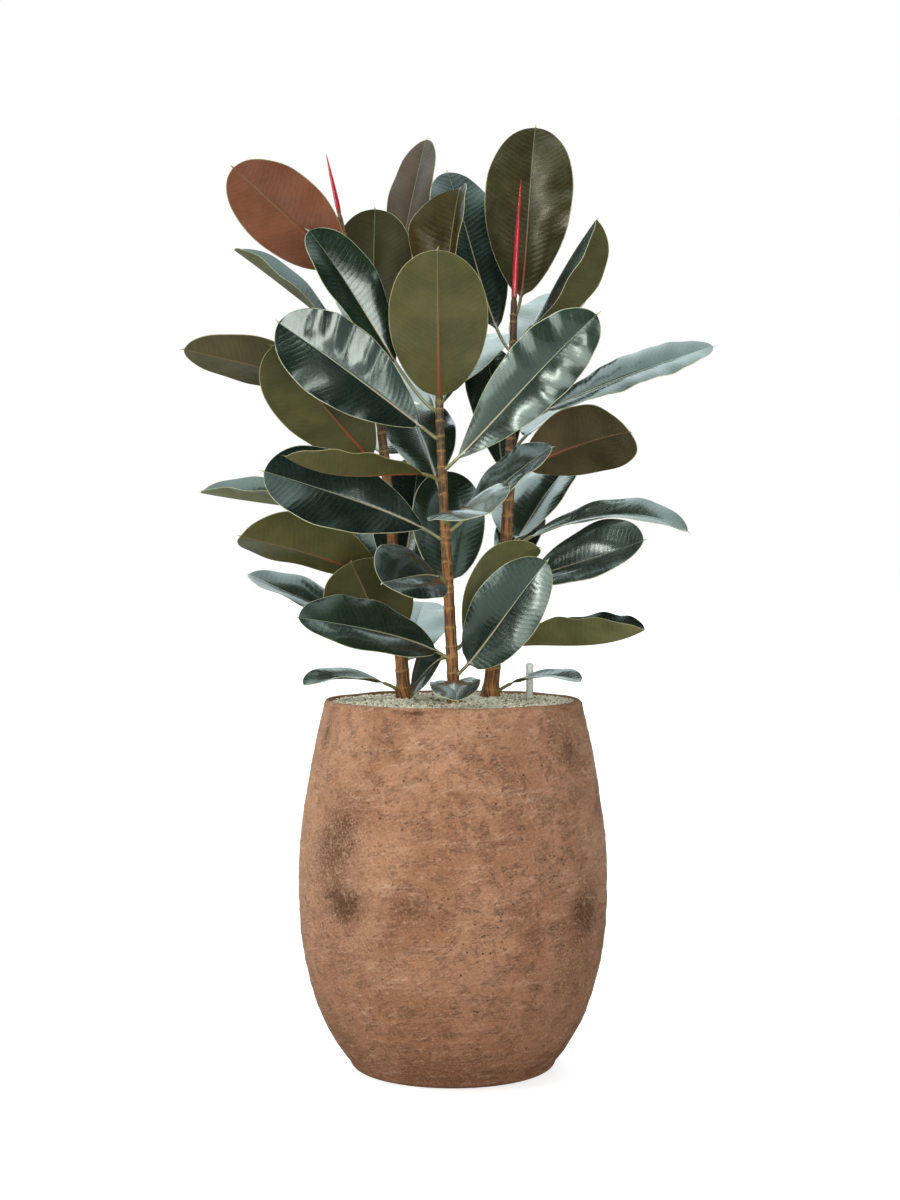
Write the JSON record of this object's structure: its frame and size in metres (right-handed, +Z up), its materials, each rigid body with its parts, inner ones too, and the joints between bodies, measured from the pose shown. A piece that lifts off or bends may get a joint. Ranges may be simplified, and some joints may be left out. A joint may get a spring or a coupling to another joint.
{
  "type": "potted rubber plant",
  "caption": "Tall rubber plant with upright stems and big glossy oval leaves, growing in a barrel-shaped terracotta planter topped with pale granulate.",
  "frame": {"origin": "centre of the planter's flat underside", "axes": "+Z up along the stems, +X to the right of the plant's front, +Y to its back"},
  "size_m": [0.7123, 0.5404, 1.2572],
  "materials": {
    "terracotta": "rough hand-trowelled terracotta brown",
    "granulate": "loose pale granules",
    "gauge_tube": "smooth translucent white",
    "bark": "orange-brown bark with pale rings",
    "red_sheath": "satin red",
    "leaf_green": "glossy dark green, olive-brown below",
    "leaf_copper": "satin copper brown",
    "leaf_bronze": "glossy bronze green"
  },
  "bodies": {
    "root": {"pot": "terracotta", "granulate": "granulate", "water_gauge": "gauge_tube", "stem_left": "bark", "stem_centre": "bark", "stem_right": "bark", "sheath_left": "red_sheath", "sheath_centre": "red_sheath", "sheath_right": "red_sheath", "leaf_left_01": "leaf_copper", "leaf_left_02": "leaf_green", "leaf_left_03": "leaf_bronze", "leaf_left_04": "leaf_bronze", "leaf_left_05": "leaf_green", "leaf_left_06": "leaf_green", "leaf_left_07": "leaf_green", "leaf_left_08": "leaf_green", "leaf_left_09": "leaf_green", "leaf_left_10": "leaf_green", "leaf_left_11": "leaf_green", "leaf_left_12": "leaf_green", "leaf_left_13": "leaf_green", "leaf_left_14": "leaf_green", "leaf_left_15": "leaf_green", "leaf_left_16": "leaf_green", "leaf_centre_01": "leaf_bronze", "leaf_centre_02": "leaf_green", "leaf_centre_03": "leaf_green", "leaf_centre_04": "leaf_green", "leaf_centre_05": "leaf_green", "leaf_centre_06": "leaf_green", "leaf_centre_07": "leaf_green", "leaf_centre_08": "leaf_green", "leaf_centre_09": "leaf_green", "leaf_centre_10": "leaf_green", "leaf_centre_11": "leaf_green", "leaf_centre_12": "leaf_green", "leaf_centre_13": "leaf_green", "leaf_centre_14": "leaf_green", "leaf_centre_15": "leaf_green", "leaf_centre_16": "leaf_green", "leaf_centre_17": "leaf_green", "leaf_centre_18": "leaf_green", "leaf_centre_19": "leaf_green", "leaf_right_01": "leaf_bronze", "leaf_right_02": "leaf_green", "leaf_right_03": "leaf_green", "leaf_right_04": "leaf_green", "leaf_right_05": "leaf_green", "leaf_right_06": "leaf_green", "leaf_right_07": "leaf_green", "leaf_right_08": "leaf_green", "leaf_right_09": "leaf_green", "leaf_right_10": "leaf_green", "leaf_right_11": "leaf_green", "leaf_right_12": "leaf_green", "leaf_right_13": "leaf_green", "leaf_right_14": "leaf_green", "leaf_right_15": "leaf_green", "leaf_right_16": "leaf_green"}
  },
  "joints": []
}
